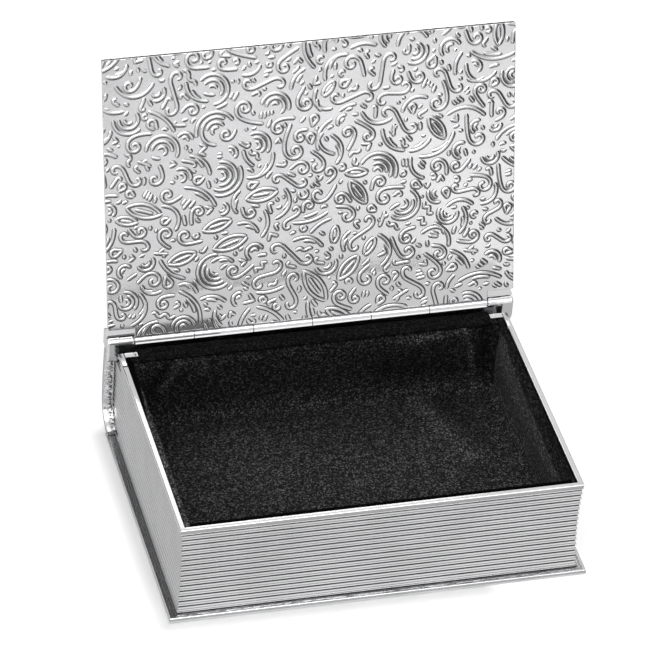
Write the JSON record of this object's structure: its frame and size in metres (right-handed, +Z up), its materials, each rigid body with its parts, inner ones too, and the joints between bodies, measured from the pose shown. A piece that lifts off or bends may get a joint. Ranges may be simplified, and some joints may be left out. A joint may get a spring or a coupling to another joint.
{
  "type": "keepsake box",
  "caption": "Book-shaped keepsake box of silver-plated metal with ridged page-edge walls, a velvet-lined well and a hinged embossed lid.",
  "frame": {"origin": "middle of the underside of the back cover, on the face that the box rests on", "axes": "+X along the spine to the right as seen from the fore-edge, -Y to the fore-edge, +Z up out of the well"},
  "size_m": [0.15, 0.1338, 0.146],
  "materials": {
    "silver_plate": "soft bright silver plate, lightly tarnished in the grooves",
    "polished_silver": "polished silver plate",
    "steel": "plain bright steel",
    "black_velvet": "short-pile black velvet",
    "black_felt": "pressed black felt",
    "grey_card": "grey board"
  },
  "bodies": {
    "box": {"back_cover": "silver_plate", "base_felt": "black_felt", "base_screw_front_left": "steel", "base_screw_front_right": "steel", "base_screw_rear_left": "steel", "base_screw_rear_right": "steel", "corner_block_front_left": "silver_plate", "corner_block_front_right": "silver_plate", "corner_block_rear_left": "silver_plate", "corner_block_rear_right": "silver_plate", "page_wall_front": "silver_plate", "page_wall_left": "silver_plate", "page_wall_right": "silver_plate", "page_wall_rear": "silver_plate", "spine_shell": "silver_plate", "hinge_rail": "silver_plate", "hinge_lug_left": "polished_silver", "hinge_lug_right": "polished_silver", "body_hinge_leaf": "polished_silver", "hinge_pin": "steel", "floor_card": "grey_card", "front_card": "grey_card", "left_card": "grey_card", "right_card": "grey_card", "rear_card": "grey_card", "floor_velvet": "black_velvet", "front_velvet": "black_velvet", "left_velvet": "black_velvet", "right_velvet": "black_velvet", "rear_velvet": "black_velvet", "hinge_velvet": "black_velvet"},
    "lid": {"front_cover": "silver_plate", "lid_hinge_leaf": "polished_silver"}
  },
  "joints": [
    {"name": "lid_hinge", "type": "hinge", "parent": "box", "child": "lid", "pos_m": [0, 0.055, 0.0408], "axis": [1, 0, 0], "range_deg": [0, 103.8]}
  ]
}
